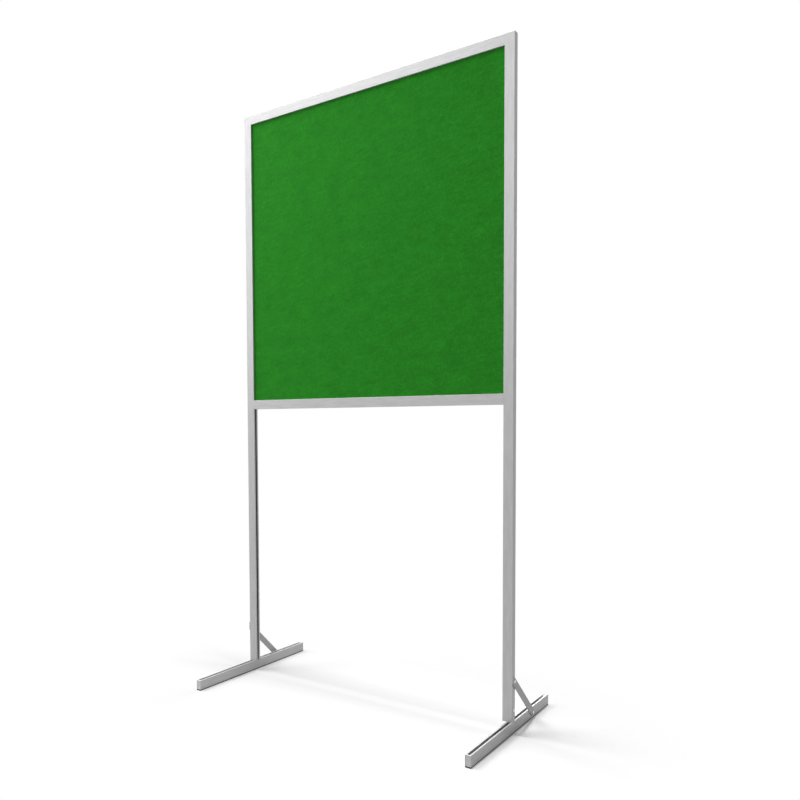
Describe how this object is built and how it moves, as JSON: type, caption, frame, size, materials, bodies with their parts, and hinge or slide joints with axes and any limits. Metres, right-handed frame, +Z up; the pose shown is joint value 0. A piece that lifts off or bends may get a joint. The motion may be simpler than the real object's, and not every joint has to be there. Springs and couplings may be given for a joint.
{
  "type": "acoustic divider screen",
  "caption": "Free-standing felt-faced divider screen: a square green panel in a slim aluminium frame, raised on posts that stand on braced channel feet.",
  "frame": {"origin": "on the floor, under the middle of the screen", "axes": "+Z up, +X to the right along the screen, -Y towards the capped front ends of the feet"},
  "size_m": [1.0116, 0.5, 1.9],
  "materials": {
    "frame_aluminium": "satin",
    "brace_aluminium": "satin",
    "cast_key": "matte",
    "screw_steel": "satin",
    "fibre_board": "matte",
    "green_felt": "matte",
    "black_rubber": "matte",
    "block_plastic": "matte",
    "cap_plastic": "satin"
  },
  "bodies": {
    "root": {"left_post": "frame_aluminium", "right_post": "frame_aluminium", "top_rail": "frame_aluminium", "mid_rail": "frame_aluminium", "left_foot": "frame_aluminium", "right_foot": "frame_aluminium", "left_brace": "brace_aluminium", "right_brace": "brace_aluminium", "corner_key_left": "cast_key", "corner_key_right": "cast_key", "rail_key_left": "cast_key", "rail_key_right": "cast_key", "left_post_block": "cast_key", "right_post_block": "cast_key", "rail_key_screws": "screw_steel", "foot_screws": "screw_steel", "post_screws": "screw_steel", "brace_bolts": "screw_steel", "brace_nuts": "screw_steel", "acoustic_board": "fibre_board", "felt_front": "green_felt", "felt_back": "green_felt", "seal_left": "black_rubber", "seal_right": "black_rubber", "seal_top": "black_rubber", "seal_bottom": "black_rubber", "setting_blocks": "block_plastic", "left_foot_cap": "cap_plastic", "right_foot_cap": "cap_plastic", "left_foot_pad": "black_rubber", "right_foot_pad": "black_rubber"}
  },
  "joints": []
}
